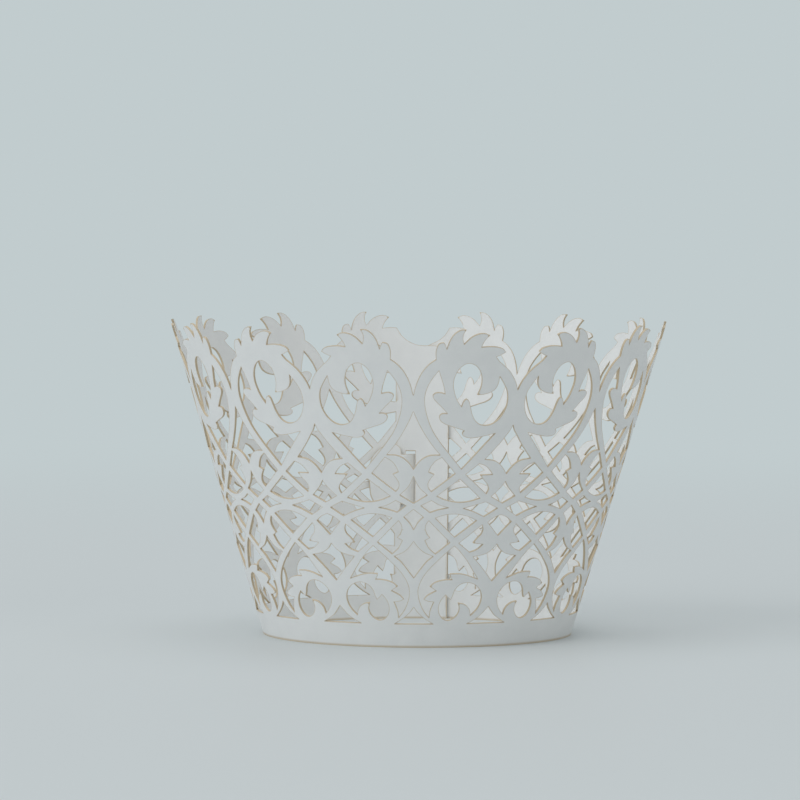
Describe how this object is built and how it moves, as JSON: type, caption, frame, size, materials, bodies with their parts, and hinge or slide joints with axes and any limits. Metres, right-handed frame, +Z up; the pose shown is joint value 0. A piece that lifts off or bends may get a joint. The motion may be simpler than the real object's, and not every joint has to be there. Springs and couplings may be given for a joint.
{
  "type": "cupcake wrapper",
  "caption": "Open conical sleeve of thin white card, cut through with a scroll-and-heart lattice, with a leafy rim and a plain foot band.",
  "frame": {"origin": "middle of the box around the wrapper, on the plane that the foot edge stands on", "axes": "+Z up along the cone's axis; -Y towards the front, opposite the closing lap"},
  "size_m": [0.0842, 0.0832, 0.0532],
  "materials": {
    "card": "white card with a faint pearl sheen"
  },
  "bodies": {
    "root": {"wrapper": "card"}
  },
  "joints": []
}
